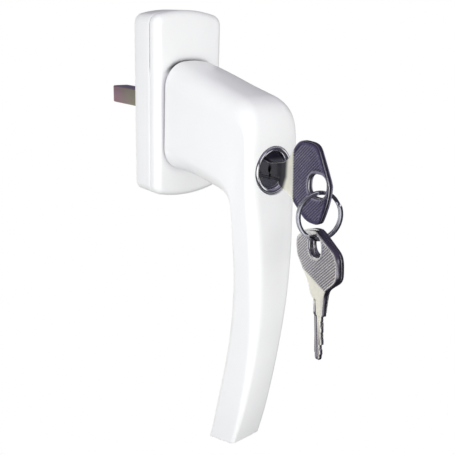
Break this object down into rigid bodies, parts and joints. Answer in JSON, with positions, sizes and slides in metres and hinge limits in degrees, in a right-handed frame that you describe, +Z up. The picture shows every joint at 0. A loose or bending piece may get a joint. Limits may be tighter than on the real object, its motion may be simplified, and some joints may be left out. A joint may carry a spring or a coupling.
{
  "type": "lockable window handle",
  "caption": "Lockable window handle with an arched rosette, curved lever, keyed cylinder in the neck, square spindle and a key set on a split ring.",
  "frame": {"origin": "centre of the spindle's free end, on the handle's axis of rotation", "axes": "+Z up along the rosette and away from the lever's free end, +Y along the spindle into the sash, +X across, to the right seen from the room"},
  "size_m": [0.031, 0.1349, 0.1651],
  "materials": {
    "powder_coat": "semi-gloss white powder coat",
    "zinc_steel": "bright zinc plated",
    "spring_steel": "drawn wire and spring strip",
    "yellow_zinc": "yellow passivated, iridescent",
    "chrome_plate": "polished",
    "key_nickel": "nickel plated, hatched bow",
    "wafer_brass": "stamped",
    "nylon": "moulded"
  },
  "bodies": {
    "rosette": {"rosette_base": "powder_coat", "back_plate": "zinc_steel", "bearing_bush": "nylon", "detent_ball_upper": "zinc_steel", "detent_ball_lower": "zinc_steel", "detent_spring_upper": "spring_steel", "detent_spring_lower": "spring_steel"},
    "cover": {"rosette_cover": "powder_coat"},
    "handle": {"handle_grip": "powder_coat", "square_spindle": "yellow_zinc", "spindle_roll_pin": "zinc_steel", "detent_ring": "zinc_steel", "wave_washer": "spring_steel", "hub_circlip": "spring_steel", "lock_housing": "chrome_plate", "lock_grub_screw": "zinc_steel"},
    "slide": {"locking_slide": "zinc_steel"},
    "plug": {"cylinder_plug": "chrome_plate", "drive_pin": "zinc_steel", "plug_circlip": "spring_steel", "wafer_1": "wafer_brass", "wafer_2": "wafer_brass", "wafer_3": "wafer_brass", "wafer_4": "wafer_brass", "wafer_5": "wafer_brass", "wafer_spring_1": "spring_steel", "wafer_spring_2": "spring_steel", "wafer_spring_3": "spring_steel", "wafer_spring_4": "spring_steel", "wafer_spring_5": "spring_steel"},
    "key": {"key_in_lock": "key_nickel"},
    "key_ring": {"split_ring": "zinc_steel"},
    "spare_front": {"spare_key_front": "key_nickel"},
    "spare_rear": {"spare_key_rear": "key_nickel"}
  },
  "joints": [
    {"name": "cover_turn", "type": "hinge", "parent": "rosette", "child": "cover", "pos_m": [0, -0.048, 0], "axis": [0, 1, 0], "range_deg": [-90, 90]},
    {"name": "handle_turn", "type": "hinge", "parent": "rosette", "child": "handle", "pos_m": [0, -0.05, 0], "axis": [0, 1, 0], "range_deg": [-180, 180]},
    {"name": "key_turn", "type": "hinge", "parent": "handle", "child": "plug", "pos_m": [0, -0.08, -0.0162], "axis": [0, -1, 0], "range_deg": [0, 90]},
    {"name": "slide_lift", "type": "slide", "parent": "handle", "child": "slide", "axis": [0, 0, 1], "range_m": [0, 0.00301]},
    {"name": "key_withdraw", "type": "slide", "parent": "plug", "child": "key", "axis": [0, -1, 0], "range_m": [0, 0.024]},
    {"name": "ring_swing", "type": "hinge", "parent": "key", "child": "key_ring", "pos_m": [-0.00006, -0.11859, -0.01939], "axis": [-0.9285, 0.3714, 0], "range_deg": [-5, 35]},
    {"name": "spare_front_swing", "type": "hinge", "parent": "key_ring", "child": "spare_front", "pos_m": [-0.00173, -0.11967, -0.03432], "axis": [-0.9455, 0.3256, 0], "range_deg": [-6, 15]},
    {"name": "spare_rear_swing", "type": "hinge", "parent": "key_ring", "child": "spare_rear", "pos_m": [0.00041, -0.12053, -0.03432], "axis": [-0.9455, 0.3256, 0], "range_deg": [-6, 15]}
  ],
  "couplings": [
    {"joint": "slide_lift", "follows": "key_turn", "m_per_rad": 0.0019099}
  ]
}
